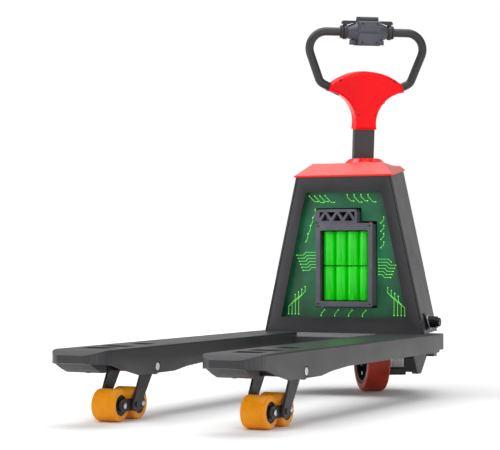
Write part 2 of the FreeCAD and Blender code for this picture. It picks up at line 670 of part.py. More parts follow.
def cover_outline():
    """Fan shape: arched top, tips over the loop's ends, concave flanks down to the drawbar."""
    def point(x, z):
        return vec(x, 0, z)
    tip, shoulder, foot = (116, 214), (108, 236), (34, 101)
    flank = (60, 188)
    edges = [
        Part.Arc(point(-shoulder[0], shoulder[1]), point(0, 275), point(*shoulder)).toShape(),
        Part.LineSegment(point(*shoulder), point(*tip)).toShape(),
        Part.Arc(point(*tip), point(*flank), point(*foot)).toShape(),
        Part.LineSegment(point(*foot), point(-foot[0], foot[1])).toShape(),
        Part.Arc(point(-foot[0], foot[1]), point(-flank[0], flank[1]), point(-tip[0], tip[1])).toShape(),
        Part.LineSegment(point(-tip[0], tip[1]), point(-shoulder[0], shoulder[1])).toShape(),
    ]
    return Part.Face(Part.Wire(edges))


def cover_half(front):
    """One shell of the cover; the two meet on the tiller's middle plane."""
    depth = 32.0
    sign = -1 if front else 1
    face = cover_outline()
    block = face.extrude(vec(0, sign * depth, 0))
    rim = [e for e in block.Edges if abs(e.CenterOfMass.y - sign * depth) < 0.01]
    block = block.makeFillet(9, rim)
    hollow = face.makeOffset2D(-4, 0, False, False, True).extrude(vec(0, sign * (depth - 4), 0))
    rim = [e for e in hollow.Edges if abs(e.CenterOfMass.y - sign * (depth - 4)) < 0.01]
    shell = block.cut(hollow.makeFillet(5, rim))
    shell = shell.cut(box(-BAR_W / 2, BAR_W / 2, -BAR_T / 2, BAR_T / 2, 90, 196))
    run = vec(61, 0, 28)
    for side in (1, -1):
        tube = Part.makeCylinder(TUBE_R, 90, vec(side * 78, 0, 212), vec(side * run.x, 0, run.z))
        shell = shell.cut(tube)
    for x, z in ((-83, 248), (83, 248), (-39, 145), (39, 145)):
        shell = shell.cut(Part.makeCylinder(3.5, 5, vec(x, sign * depth, z), vec(0, -sign, 0)))
    return shell


def head_body():
    """Control head clamped round the middle of the cross bar."""
    core = soften(box(-33, 33, -38, 38, GRIP_Z - 40, GRIP_Z + 34), 8, along_x)
    cones = [Part.makeCone(30, 18, 30, vec(s * 33, 0, GRIP_Z), vec(s, 0, 0)) for s in (1, -1)]
    collars = [rod_x(18, 63, 74, 0, GRIP_Z), rod_x(18, -74, -63, 0, GRIP_Z)]
    feet = [box(-50, -33, -14, 14, GRIP_Z - 38, GRIP_Z - 24), box(33, 50, -14, 14, GRIP_Z - 38, GRIP_Z - 24)]
    head = core.fuse(cones + collars + feet).removeSplitter()
    head = head.cut(rod_x(TUBE_R, -80, 80, 0, GRIP_Z))
    head = head.cut(box(-28, 28, -30, 30, GRIP_Z + 24, GRIP_Z + 40))
    for x in (-18, 0, 18):
        head = head.cut(rod_y(5.5 + RUNNING, 30, 40, x, GRIP_Z + 2))
    return head


def belly_button():
    """Curved pad on the end of the head that stops and reverses the truck."""
    pad = box(-27.6, 27.6, -29.6, 29.6, GRIP_Z + 33, GRIP_Z + 46)
    return soften(pad, 9, lambda e: along_x(e) and e.CenterOfMass.z > GRIP_Z + 40)


def thumb_button(x):
    return rod_y(5.5, 33.5, 42, x, GRIP_Z + 2)


def throttle():
    """Butterfly paddles that turn together on the head's collars."""
    ring = rod_x(THROTTLE_R + 4, 64, 73, 0, GRIP_Z)
    paddle = face_prism([(37, 29.5), (37, 34), (72, 34), (77, 30), (77, 24), (66, 20.5), (58, 23)], -10, 10)
    paddle.translate(vec(0, 0, GRIP_Z))
    wing = ring.fuse(paddle).cut(rod_x(THROTTLE_R, 60, 80, 0, GRIP_Z))
    return both_sides(wing)


def emergency_stop():
    """Mushroom knob on the upper rear wall."""
    y = HOUSING_DEPTH
    head = rod_y(19, y + 9, y + 18, 0, 618)
    head = head.makeFillet(5, [e for e in head.Edges if e.Closed and e.CenterOfMass.y > y + 17])
    return head.fuse(rod_y(11 - RUNNING, y - 12, y + 9, 0, 618)).removeSplitter()


def save_fork_frame():
    save("fork_right", fork())
    save("fork_left", mirrored(fork()))
    save("fork_skids", both_sides(fork_skid()))
    save("arm_pivot_bolts", both_sides(pivot_bolt()))
    save("crossbeam", crossbeam())
    save("front_panel", front_panel())
    save("side_panel_right", side_panel())
    save("side_panel_left", mirrored(side_panel()))
    save("back_panel", back_panel())
    save("lid", lid())
    save("window_board", window_board())
    save("guide_bracket", guide_bracket())
    save("cylinder_rod", cylinder_rod())
    save("link_pins", both_sides(link_pin()))
    save("emergency_stop", emergency_stop())


def save_battery():
    save("battery_case", battery_case())
    save("battery_bezel", battery_bezel())
    save("battery_cells", battery_cells())
    save("battery_handle", battery_handle())
    save("battery_button", battery_button())


def save_load_wheels():
    for side, place in (("right", lambda s: s), ("left", mirrored)):
        save(f"wheel_arm_{side}", place(wheel_arm()))
        save(f"bogie_{side}", place(bogie()))
        save(f"push_rod_{side}", place(push_rod()))
        for end, y in (("front", BOGIE_Y - TANDEM / 2), ("rear", BOGIE_Y + TANDEM / 2)):
            save(f"load_tread_{side}_{end}", place(load_tread(y)))
            save(f"load_hub_{side}_{end}", place(load_hub(y)))


def save_drive_frame():
    save("chassis_plate", chassis_plate())
    save("chassis_cheek_right", chassis_cheek())
    save("chassis_cheek_left", mirrored(chassis_cheek()))
    save("guide_posts", guide_posts())
    save("lift_cylinder", lift_cylinder())
    save("power_pack", power_pack())
    save("controller_box", controller_box())
    save("rear_cover", rear_cover())
    save("charge_port", charge_port())


def save_drive_unit():
    save("drive_bracket", steered(drive_bracket()))
    save("drive_motor", steered(drive_motor()))
    save("drive_tyre", steered(drive_tyre()))
    save("drive_hub", steered(drive_hub()))
    save("steer_column", steered(steer_column()))
    save("turret_cap", steered(turret_cap()))
    save("tilt_pin", steered(tilt_pin()))


def save_tiller():
    save("drawbar", tilted(drawbar()))
    save("handle_loop", tilted(handle_loop()))
    save("handle_cover_front", tilted(cover_half(True)))
    save("handle_cover_rear", tilted(cover_half(False)))
    save("head_body", tilted(head_body()))
    save("belly_button", tilted(belly_button()))
    save("throttle", tilted(throttle()))
    for name, x in (("lift_button", -18), ("horn_button", 0), ("lower_button", 18)):
        save(name, tilted(thumb_button(x)))


save_fork_frame()
save_battery()
save_load_wheels()
save_drive_frame()
save_drive_unit()
save_tiller()
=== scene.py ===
"""Looks of an electric walkie pallet truck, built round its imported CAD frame.

Metres, +Z up, forks towards -Y. Sizes of the added pieces are in mm until they are placed.
"""
import json
import math
import random

import bmesh
import bpy
from mathutils import Euler, Matrix, Vector


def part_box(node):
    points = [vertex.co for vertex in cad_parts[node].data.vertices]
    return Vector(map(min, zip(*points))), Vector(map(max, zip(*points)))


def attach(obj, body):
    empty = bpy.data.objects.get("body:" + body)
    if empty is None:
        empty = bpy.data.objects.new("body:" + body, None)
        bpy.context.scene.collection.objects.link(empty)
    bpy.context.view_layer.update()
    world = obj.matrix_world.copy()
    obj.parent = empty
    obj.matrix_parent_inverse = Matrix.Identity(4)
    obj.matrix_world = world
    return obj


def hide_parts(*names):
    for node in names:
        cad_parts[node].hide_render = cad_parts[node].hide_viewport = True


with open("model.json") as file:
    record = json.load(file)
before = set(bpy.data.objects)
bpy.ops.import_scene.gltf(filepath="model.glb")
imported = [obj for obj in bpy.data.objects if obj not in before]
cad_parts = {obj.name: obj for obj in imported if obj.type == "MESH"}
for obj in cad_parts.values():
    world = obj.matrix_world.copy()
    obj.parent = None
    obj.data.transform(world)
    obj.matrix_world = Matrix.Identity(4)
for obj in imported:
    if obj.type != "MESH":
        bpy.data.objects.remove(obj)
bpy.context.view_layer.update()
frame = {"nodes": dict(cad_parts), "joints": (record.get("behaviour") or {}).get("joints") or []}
MM = 0.001
TURNS = 48                     # facets round a turned piece
SIDE_TAPER, SIDE_SLOPE = 0.2126, 0.2237    # how the housing sides close in, rearwards and upwards
GRIP_Z = 392                   # cross bar above the tilt pin
DRIVE_R = 105                  # drive wheel radius, and so its axle height
HUB_WINDOW_R = 51              # circle that the drive hub's windows and screws sit on
rng = random.Random(7)

JOINTS = {j["name"]: j for j in frame["joints"]}
WHEELS = [(side, end) for side in ("right", "left") for end in ("front", "rear")]


# ---------------------------------------------------------------- places, read from the frame

def basis(origin, x_axis, z_axis):
    """Matrix from a body's own axes to the row frame."""
    x = Vector(x_axis).normalized()
    z = Vector(z_axis).normalized()
    y = z.cross(x)
    turn = Matrix((x, y, z)).transposed().to_4x4()
    return Matrix.Translation(Vector(origin)) @ turn


STEER_AXIS = JOINTS["steer_turn"]["pos_m"]
DRIVE_SPIN = JOINTS["drive_wheel_spin"]
TILLER_UP = -Vector(JOINTS["belly_press"]["axis"])
# the steering column's axes, on the floor, and the tiller's, from its tilt pin
STEER = basis((STEER_AXIS[0], STEER_AXIS[1], 0), DRIVE_SPIN["axis"], (0, 0, 1))
TILLER = basis(JOINTS["tiller_tilt"]["pos_m"], JOINTS["throttle_twist"]["axis"], TILLER_UP)


def steer_point(x, y, z):
    return STEER @ Vector((x * MM, y * MM, z * MM))


def steer_way(x, y, z):
    return STEER.to_3x3() @ Vector((x, y, z))


def tiller_point(x, y, z):
    return TILLER @ Vector((x * MM, y * MM, z * MM))


def tiller_way(x, y, z):
    return TILLER.to_3x3() @ Vector((x, y, z))


# ---------------------------------------------------------------- materials

def linear(hex_colour):
    """sRGB hex to linear RGBA."""
    channels = [int(hex_colour[i:i + 2], 16) / 255 for i in (0, 2, 4)]
    straight = [c / 12.92 if c <= 0.04045 else ((c + 0.055) / 1.055) ** 2.4 for c in channels]
    return (*straight, 1.0)


def add(tree, kind, settings=None, values=None, links=None):
    """A shader node with its settings, its sockets' values and the outputs that feed it."""
    made = tree.nodes.new(kind)
    for name, value in (settings or {}).items():
        setattr(made, name, value)
    for socket, value in (values or {}).items():
        made.inputs[socket].default_value = value
    for socket, source in (links or {}).items():
        tree.links.new(source, made.inputs[socket])
    return made


def principled(tree):
    """The tree's main shader, and what feeds its colour."""
    shade = next(n for n in tree.nodes if n.type == "BSDF_PRINCIPLED")
    return shade, shade.inputs["Base Color"].links[0].from_socket


def surface(name, light, dark, mottle=60, grain=1.2, relief=0.05, rough=(0.3, 0.45), bands=None,
            worn=None, rounding=0.0, **shader):
    """A finish of two close colours.

    mottle and grain are sizes in mm, relief is the grain's height in mm, rough the range of roughness.
    bands is a brushing direction, as a scale for each axis. worn is the colour that shows on rubbed edges,
    and rounding the radius in mm that the coat's film gives a sharp edge.
    """
    material = bpy.data.materials.new(name)
    material.use_nodes = True
    tree = material.node_tree
    tree.nodes.clear()
    place = add(tree, "ShaderNodeTexCoord").outputs["Object"]
    if bands:
        place = add(tree, "ShaderNodeMapping", values={"Scale": bands},
                    links={"Vector": place}).outputs["Vector"]
    broad = add(tree, "ShaderNodeTexNoise", values={"Scale": 1000 / mottle, "Detail": 4.0, "Roughness": 0.6},
                links={"Vector": place}).outputs["Fac"]
    fine = add(tree, "ShaderNodeTexNoise", values={"Scale": 1000 / grain, "Detail": 3.0, "Roughness": 0.55},
               links={"Vector": place}).outputs["Fac"]
    blended = add(tree, "ShaderNodeMath", {"operation": "MULTIPLY_ADD"}, {1: 0.75}, {0: broad})
    quarter = add(tree, "ShaderNodeMath", {"operation": "MULTIPLY"}, {1: 0.25}, {0: fine})
    tree.links.new(quarter.outputs[0], blended.inputs[2])
    ramp = add(tree, "ShaderNodeValToRGB", links={"Fac": blended.outputs[0]})
    ramp.color_ramp.elements[0].position = 0.35
    ramp.color_ramp.elements[0].color = linear(dark)
    ramp.color_ramp.elements[1].position = 0.65
    ramp.color_ramp.elements[1].color = linear(light)
    colour = ramp.outputs["Color"]
    if worn:
        edge = add(tree, "ShaderNodeNewGeometry").outputs["Pointiness"]
        rubbed = add(tree, "ShaderNodeMapRange", values={"From Min": 0.54, "From Max": 0.62, "To Max": 0.35},
                     links={"Value": edge}).outputs["Result"]
        mixed = add(tree, "ShaderNodeMix", {"data_type": "RGBA"}, links={"Factor": rubbed})
        tree.links.new(colour, mixed.inputs[6])
        mixed.inputs[7].default_value = linear(worn)
        colour = mixed.outputs[2]
    roughness = add(tree, "ShaderNodeMapRange",
                    values={"From Min": 0.3, "From Max": 0.7, "To Min": rough[0], "To Max": rough[1]},
                    links={"Value": broad}).outputs["Result"]
    bump = add(tree, "ShaderNodeBump", values={"Strength": 0.6, "Distance": relief * MM},
               links={"Height": fine}).outputs["Normal"]
    if rounding:
        rounded = add(tree, "ShaderNodeBevel", {"samples": 4}, {"Radius": rounding * MM}).outputs["Normal"]
        tree.links.new(rounded, bump.node.inputs["Normal"])
    shade = add(tree, "ShaderNodeBsdfPrincipled", values=shader,
                links={"Base Color": colour, "Roughness": roughness, "Normal": bump})
    add(tree, "ShaderNodeOutputMaterial", links={"Surface": shade.outputs["BSDF"]})
    return material


def powder_coat():
    """Charcoal polyester powder on steel: satin, with fine orange peel and edges rubbed lighter."""
    return surface("charcoal_powder_coat", "222224", "171719", mottle=90, grain=1.6, relief=0.09,
                   rough=(0.28, 0.40), worn="58585C", rounding=1.6, IOR=1.5)


def warm_powder_coat():
    """The same powder on the linkage, thicker and duller."""
    return surface("linkage_powder_coat", "272627", "1A1A1B", mottle=40, grain=1.2, relief=0.10,
                   rough=(0.38, 0.55), worn="62605E", IOR=1.5)


def tube_coat():
    """Rubbery dip over the bent handle tube: soft, even highlights."""
    return surface("dipped_vinyl", "29292C", "1E1E21", mottle=35, grain=0.9, relief=0.05,
                   rough=(0.36, 0.50), IOR=1.5)


def red_abs():
    """Glossy red ABS mouldings: deep colour, sharp highlights, faint flow marks."""
    return surface("red_gloss_abs", "FA0010", "E6000C", mottle=120, grain=2.5, relief=0.02,
                   rough=(0.26, 0.36), IOR=1.53, **{"Specular IOR Level": 0.16})


def lid_abs():
    """Orange-red ABS lid, polished tool: broad pale reflections."""
    return surface("orange_red_abs", "EC2410", "D81A0A", mottle=140, grain=3.0, relief=0.02,
                   rough=(0.14, 0.24), IOR=1.54, **{"Coat Weight": 0.15, "Coat Roughness": 0.06})


def stop_abs():
    """Signal red knob, polished."""
    return surface("signal_red_abs", "DC1418", "C00E12", mottle=20, grain=1.0, relief=0.01,
                   rough=(0.2, 0.3), IOR=1.53)


def amber_polyurethane():
    """Cast amber polyurethane: waxy, a little light passes under the skin, scuffed by the floor."""
    return surface("amber_polyurethane", "FFA600", "F29400", mottle=40, grain=0.8, relief=0.04,
                   rough=(0.26, 0.48), IOR=1.5,
                   **{"Specular IOR Level": 0.28, "Subsurface Weight": 0.15,
                      "Subsurface Radius": (0.006, 0.003, 0.001), "Subsurface Scale": 1.0})


def drive_polyurethane():
    """Red-brown polyurethane on the drive wheel, darkened where it runs on the floor."""
    return surface("red_brown_polyurethane", "CC3A1C", "9C260F", mottle=45, grain=1.2, relief=0.12,
                   rough=(0.38, 0.60), IOR=1.5)


def moulded_grey():
    """Grey-blue glass-filled nylon of the control head: satin, with a spark-eroded grain."""
    return surface("grey_moulded_nylon", "484A54", "3A3C46", mottle=30, grain=0.7, relief=0.05,
                   rough=(0.34, 0.48), IOR=1.53)


def pack_polycarbonate():
    """Grey battery case, a satin moulding with a fine spark grain."""
    return surface("grey_polycarbonate", "5C5A64", "4A4852", mottle=45, grain=0.8, relief=0.05,
                   rough=(0.32, 0.46), IOR=1.55)


def black_nylon():
    """Black moulded nylon: matt, coarse grained."""
    return surface("black_moulded_nylon", "242528", "191A1C", mottle=30, grain=1.1, relief=0.08,
                   rough=(0.42, 0.6), IOR=1.53)


def skid_nylon():
    """Wear shoe: black nylon scored along the direction of travel."""
    return surface("scuffed_nylon", "303032", "1A1A1C", mottle=30, grain=1.4, relief=0.12, rough=(0.45, 0.7),
                   bands=(3.0, 0.35, 3.0), IOR=1.53)


def bright_zinc():
    """Zinc plated steel: pale, slightly blue, with fine turning marks."""
    return surface("bright_zinc_plate", "CDD0D4", "AEB2B8", mottle=14, grain=0.5, relief=0.015,
                   rough=(0.2, 0.34), Metallic=1.0)


def hard_chrome():
    """Ground and chromed rod: mirror bright with faint axial streaks."""
    return surface("hard_chrome", "DADCDF", "C6C9CD", mottle=30, grain=0.6, relief=0.004, rough=(0.05, 0.12),
                   bands=(4.0, 4.0, 0.4), Metallic=1.0)


def black_oxide():
    """Blackened steel pins and hub rings: dark, oily sheen."""
    return surface("black_oxide_steel", "3A3A3D", "252528", mottle=12, grain=0.6, relief=0.02,
                   rough=(0.26, 0.4), Metallic=0.85)


def motor_finish():
    """Die-cast aluminium with a bright, sand-like skin, black and not metallic below a set height along its
    underside.
    """
    material = surface("casting_black_below", "D2D1CE", "B2B1AE", mottle=24, grain=0.9, relief=0.06,
                       rough=(0.3, 0.46))
    tree = material.node_tree
    shade, colour = principled(tree)
    place = add(tree, "ShaderNodeTexCoord").outputs["Object"]
    height = add(tree, "ShaderNodeSeparateXYZ", links={0: place}).outputs["Z"]
    # below this height, along the underside, the casting is black and not metallic
    black_below_height = 0.073
    bright = add(tree, "ShaderNodeMapRange", values={"From Min": black_below_height, "From Max": black_below_height + 0.001},
                 links={"Value": height}).outputs["Result"]
    mixed = add(tree, "ShaderNodeMix", {"data_type": "RGBA"}, links={"Factor": bright, 7: colour})
    mixed.inputs[6].default_value = linear("1C1C1E")
    tree.links.new(mixed.outputs[2], shade.inputs["Base Color"])
    tree.links.new(bright, shade.inputs["Metallic"])
    return material


def cast_iron():
    """Painted cast hub: rough black skin."""
    return surface("painted_cast_iron", "323234", "1E1E20", mottle=22, grain=1.8, relief=0.22,
                   rough=(0.5, 0.68), IOR=1.5, worn="55524E")


def black_enamel():
    """Glossy black enamel on the cylinder and pump."""
    return surface("black_enamel", "2C2D30", "212225", mottle=60, grain=3.0, relief=0.03,
                   rough=(0.16, 0.28), IOR=1.5)


def shrink_sleeve():
    """Vivid green shrink sleeve round each cell: glossy, glowing a little in its own colour."""
    return surface("green_shrink_sleeve", "0AD80A", "06C408", mottle=50, grain=1.5, relief=0.006,
                   rough=(0.16, 0.24),
                   IOR=1.5, **{"Emission Color": linear("0AD80A"), "Emission Strength": 0.12})


def glowing_trace():
    """Printed green lines that glow like a lit display."""
    return surface("glowing_green_print", "8CFF5E", "58E83C", mottle=40, grain=1.5, relief=0.01,
                   rough=(0.3, 0.4),
                   IOR=1.5, **{"Emission Color": linear("7CFF5A"), "Emission Strength": 0.55})


def glowing_panel():
    """Panel behind the window with a painted glow: teal green in the middle, fading to nearly black at its
    corners, with soft clouds.
    """
    material = surface("teal_panel_painted_glow", "1E7A50", "0E4C30", mottle=110, grain=1.5, relief=0.01,
                       rough=(0.28, 0.4), IOR=1.5)
    tree = material.node_tree
    shade, colour = principled(tree)
    low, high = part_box("window_board")
    middle = (low + high) / 2
    half = (high - low) / 2
    place = add(tree, "ShaderNodeTexCoord").outputs["Object"]
    centred = add(tree, "ShaderNodeVectorMath", {"operation": "SUBTRACT"}, {1: middle}, {0: place}).outputs[0]
    scaled = add(tree, "ShaderNodeVectorMath", {"operation": "MULTIPLY"}, {1: (1 / half.x, 0, 1 / half.z)},
                 {0: centred}).outputs[0]
    reach = add(tree, "ShaderNodeVectorMath", {"operation": "LENGTH"}, links={0: scaled}).outputs["Value"]
    # the painted glow fades from the middle to nearly black at the corners
    painted_glow_fade = add(tree, "ShaderNodeMapRange", values={"From Min": 0.45, "From Max": 1.25, "To Max": 0.85},
                 links={"Value": reach}).outputs["Result"]
    mixed = add(tree, "ShaderNodeMix", {"data_type": "RGBA"}, links={"Factor": painted_glow_fade, 6: colour})
    mixed.inputs[7].default_value = linear("04200E")
    tree.links.new(mixed.outputs[2], shade.inputs["Base Color"])
    # the panel gives off its own colour as light, a painted glow
    tree.links.new(mixed.outputs[2], shade.inputs["Emission Color"])
    shade.inputs["Emission Strength"].default_value = 0.3
    return material


def studio_floor():
    """Pale matt floor that is lit up towards its far edge, so that it runs into the pale backdrop."""
    material = surface("pale_studio_floor", "F6F6F6", "F2F2F2", mottle=900, grain=8, relief=0.01,
                   rough=(0.7, 0.8),
                       **{"Emission Color": (1, 1, 1, 1)})
    tree = material.node_tree
    shade, _ = principled(tree)
    place = add(tree, "ShaderNodeTexCoord").outputs["Object"]
    away = add(tree, "ShaderNodeVectorMath", {"operation": "LENGTH"}, links={0: place}).outputs["Value"]
    glow = add(tree, "ShaderNodeMapRange",
               values={"From Min": 1.0, "From Max": 4.5, "To Min": 0.02, "To Max": 0.8},
               links={"Value": away}).outputs["Result"]
    tree.links.new(glow, shade.inputs["Emission Strength"])
    return material


MOTOR = motor_finish()
POWDER, LINKAGE, TUBE = powder_coat(), warm_powder_coat(), tube_coat()
RED, LID, STOP = red_abs(), lid_abs(), stop_abs()
AMBER, DRIVE_PU = amber_polyurethane(), drive_polyurethane()
GREY, PACK, BLACK, SKID = moulded_grey(), pack_polycarbonate(), black_nylon(), skid_nylon()
ZINC, CHROME, OXIDE, IRON = bright_zinc(), hard_chrome(), black_oxide(), cast_iron()
ENAMEL, SLEEVE, TRACE, BOARD = black_enamel(), shrink_sleeve(), glowing_trace(), glowing_panel()

NODE_FINISH = {
    POWDER: ["fork_right", "fork_left", "crossbeam", "front_panel", "side_panel_right", "side_panel_left",
             "back_panel", "guide_bracket", "chassis_plate", "drawbar"],
    LINKAGE: ["chassis_cheek_right", "chassis_cheek_left", "wheel_arm_right", "wheel_arm_left", "bogie_right",
              "bogie_left", "drive_bracket", "steer_column"],
    TUBE: ["handle_loop"],
    RED: ["handle_cover_front", "handle_cover_rear"],
    LID: ["lid", "turret_cap"],
    STOP: ["emergency_stop", "battery_button"],
    BOARD: ["window_board"],
    SLEEVE: ["battery_cells"],
    PACK: ["battery_case", "battery_bezel", "battery_handle"],
    BLACK: ["rear_cover", "charge_port", "controller_box", "belly_button", "throttle"]
           + [f"load_hub_{s}_{e}" for s, e in WHEELS],
    GREY: ["head_body", "lift_button", "horn_button", "lower_button"],
    SKID: ["fork_skids"],
    ZINC: ["arm_pivot_bolts", "push_rod_right", "push_rod_left", "tilt_pin"],
    CHROME: ["cylinder_rod", "guide_posts"],
    ENAMEL: ["lift_cylinder", "power_pack"],
    MOTOR: ["drive_motor"],
    OXIDE: ["link_pins"],
    DRIVE_PU: ["drive_tyre"],
    IRON: ["drive_hub"],
    AMBER: [f"load_tread_{s}_{e}" for s, e in WHEELS],
}
for finish, names in NODE_FINISH.items():
    for name in names:
        data = frame["nodes"][name].data
        data.materials.clear()
        data.materials.append(finish)


# ---------------------------------------------------------------- mesh makers

def piece(name, mesh, body, finish, place=None, smooth_angle=35):
    """A mesh made into a named piece that rides on a body."""
    data = bpy.data.meshes.new(name)
    mesh.to_mesh(data)
    mesh.free()
    data.materials.append(finish)
    made = bpy.data.objects.new(name, data)
    bpy.context.scene.collection.objects.link(made)
    if place is not None:
        data.transform(place)
    data.shade_smooth()
    data.set_sharp_from_angle(angle=math.radians(smooth_angle))
    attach(made, body)
    return made


def turn(mesh, profile, place):
    """Adds a closed form turned about local Z from (radius, height) points in mm, moved by place."""
    rings = []
    for radius, height in profile:
        if radius == 0:
            rings.append([mesh.verts.new(place @ Vector((0, 0, height * MM)))])
            continue
        ring = []
        for i in range(TURNS):
            a = math.tau * i / TURNS
            spot = Vector((radius * MM * math.cos(a), radius * MM * math.sin(a), height * MM))
            ring.append(mesh.verts.new(place @ spot))
        rings.append(ring)
    closed = profile[0][0] != 0
    pairs = list(zip(rings, rings[1:] + rings[:1])) if closed else list(zip(rings, rings[1:]))
    for low, high in pairs:
        for i in range(TURNS):
            corners = [low[i % len(low)], low[(i + 1) % len(low)],
                       high[(i + 1) % len(high)], high[i % len(high)]]
            unique = list(dict.fromkeys(corners))
            if len(unique) > 2:
                mesh.faces.new(unique)
    bmesh.ops.recalc_face_normals(mesh, faces=mesh.faces)


def aim(point, direction):
    """Matrix that carries local Z to a direction, at a point."""
    turned = Vector(direction).to_track_quat("Z", "Y").to_matrix().to_4x4()
    return Matrix.Translation(Vector(point)) @ turned


def socket_head(radius, height):
    """Profile of a socket-head screw: chamfered rim and a hollow in the middle."""
    hole = radius * 0.5
    return [(0, 0.3), (radius, 0.3), (radius, height - 0.5), (radius - 0.5, height), (hole, height),
            (hole, height * 0.35), (0, height * 0.3)]


def washer(inner, outer, thick):
    """Profile of a flat ring with its upper edges broken."""
    return [(inner, 0), (outer, 0), (outer, thick - 0.3), (outer - 0.3, thick), (inner + 0.3, thick),
            (inner, thick - 0.3)]


def block(mesh, low, high, place, bevel):
    """Adds a softened block from two corners in mm, moved by place."""
    alone = bmesh.new()
    bmesh.ops.create_cube(alone, size=1.0)
    for v in alone.verts:
        v.co = Vector([(low[i] + (high[i] - low[i]) * (v.co[i] + 0.5)) * MM for i in range(3)])
    bmesh.ops.bevel(alone, geom=alone.edges[:], offset=bevel * MM, segments=3, profile=0.6, affect="EDGES")
    bmesh.ops.transform(alone, matrix=place, verts=alone.verts[:])
    carrier = bpy.data.meshes.new("carrier")
    alone.to_mesh(carrier)
    alone.free()
    mesh.from_mesh(carrier)
    bpy.data.meshes.remove(carrier)


def ribbon(mesh, points, half, thick, place):
    """Adds a flat printed line through (x, z) points in mm, its face towards local -Y."""
    for (xa, za), (xb, zb) in zip(points, points[1:]):
        run = Vector((xb - xa, 0, zb - za))
        side = Vector((-run.z, 0, run.x)).normalized() * half
        along = run.normalized() * half * 0.6
        a, b = Vector((xa, 0, za)) - along, Vector((xb, 0, zb)) + along
        lift = Vector((0, -thick, 0))
        front = [mesh.verts.new(place @ ((p + lift) * MM)) for p in (a - side, b - side, b + side, a + side)]
        back = [mesh.verts.new(place @ (p * MM)) for p in (a - side, b - side, b + side, a + side)]
        mesh.faces.new(front)
        mesh.faces.new(back[::-1])
        for i in range(4):
            mesh.faces.new((front[i], back[i], back[(i + 1) % 4], front[(i + 1) % 4]))
    bmesh.ops.recalc_face_normals(mesh, faces=mesh.faces)


# ---------------------------------------------------------------- battery

def battery_cell_row():
    """Eight round cells in green sleeves, in two rows of four, each with a crimp and a terminal."""
    low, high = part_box("battery_cells")
    columns, rows = 4, 2
    pitch = (high.x - low.x) / columns
    row = (high.z - low.z) / rows
    gap, end_gap = 0.9, 3
    radius = pitch / 2 / MM - gap
    length = row / MM - end_gap
    terminal = 6
    mesh = bmesh.new()
    for column in range(columns):
        for line in range(rows):
            profile = [(0, 0), (radius - 3, 0), (radius - 0.8, 0.8), (radius, 2.4), (radius, length - 7),
                       (radius - 1.1, length - 5.8), (radius - 1.1, length - 4.6), (radius, length - 3.4),
                       (radius - 0.4, length - 1), (radius - 3, length), (terminal, length),
                       (terminal, length + 1), (0, length + 1)]
            centre = (low.x + pitch * (column + 0.5), (low.y + high.y) / 2, low.z + row * line + 1 * MM)
            turn(mesh, profile, Matrix.Translation(centre))
    cells = piece("battery_cell_sleeves", mesh, "battery", SLEEVE)
    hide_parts("battery_cells")


def battery_screws():
    """Screws in the bezel's corners."""
    low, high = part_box("battery_bezel")
    mesh = bmesh.new()
    inset = 8 * MM
    for x in (low.x + inset, high.x - inset):
        for z in (low.z + inset, high.z - inset):
            turn(mesh, socket_head(2.6, 1.6), aim((x, low.y + 0.4 * MM, z), (0, -1, 0)))
    piece("battery_screws", mesh, "battery", OXIDE)


def battery_ribs():
    """Row of grip ribs along the pack's lower edge."""
    low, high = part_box("battery_bezel")
    mesh = bmesh.new()
    ribs, inset = 18, 15
    step = (high.x - low.x - 2 * inset * MM) / (ribs - 1)
    for i in range(ribs):
        x = (low.x + inset * MM + step * i) / MM
        block(mesh, (x - 1.4, low.y / MM - 0.9, low.z / MM + 2), (x + 1.4, low.y / MM + 1, low.z / MM + 7),
              Matrix.Identity(4), 0.5)
    piece("battery_grip_ribs", mesh, "battery", PACK)


# ---------------------------------------------------------------- lit panel behind the window

def circuit_run(x, z, steps):
    """Points of one printed line that starts at (x, z) and takes (heading in degrees, length) steps."""
    points = [(x, z)]
    for heading, length in steps:
        x += length * math.cos(math.radians(heading))
        z += length * math.sin(math.radians(heading))
        points.append((x, z))
    return points


def circuit_traces():
    """Bundles of printed lines with a pad at each end, clear of the battery pack."""
    tray_depth, line_rise = 13, 0.3
    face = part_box("window_board")[0].y + (tray_depth - line_rise) * MM
    plane = Matrix.Translation((0, face, 0))
    runs = []
    for i in range(6):
        # bundles out of the pack's left and right sides
        runs.append(circuit_run(-94, 372 + 9 * i, [(180, 14 + 4 * i), (225, 12), (180, 20)]))
        runs.append(circuit_run(106, 352 + 9 * i, [(0, 10 + 4 * i), (-45, 12), (0, 18)]))
    for i in range(4):
        # fans in the window's lower corners
        runs.append(circuit_run(-184 + 11 * i, 234, [(90, 22 + 8 * i), (45, 30), (90, 14)]))
        runs.append(circuit_run(186 - 11 * i, 234, [(90, 22 + 8 * i), (135, 28), (90, 14)]))
        # bundles that slant down from the window's upper edge
        runs.append(circuit_run(-116 + 17 * i, 584, [(-45, 24 + 4 * (i % 2)), (0, 10)]))
        runs.append(circuit_run(6 + 22 * i, 586, [(-90, 6), (-45, 18 + 5 * (i % 2)), (0, 8)]))
        # single lines beside the pack's shoulders
        runs.append(circuit_run(-128 + 8 * i, 448 + 24 * i, [(60, 14), (90, 12)]))
        runs.append(circuit_run(112, 430 + 24 * i, [(45, 13), (90, 8)]))
        runs.append(circuit_run(-78 + 44 * i, 230, [(90, 6), (45, 16)]))
    # the window's edges: half width at its foot, and how fast it closes in
    foot, foot_half, slope = 230, 196, 80 / 369
    lowest, highest = 229, 590
    mesh = bmesh.new()
    pads = bmesh.new()
    for run in runs:
        inside = [(x, z) for x, z in run
                  if lowest < z < highest and abs(x) < foot_half - slope * (z - foot)]
        if len(inside) < 2:
            continue
        ribbon(mesh, inside, 0.5, line_rise, plane)
        for x, z in (inside[0], inside[-1]):
            turn(pads, [(0, 0), (1.7, 0), (1.7, 0.4), (0, 0.5)], aim((x * MM, face, z * MM), (0, -1, 0)))
    piece("panel_traces", mesh, "fork_frame", TRACE)
    piece("panel_pads", pads, "fork_frame", TRACE)


# ---------------------------------------------------------------- tiller

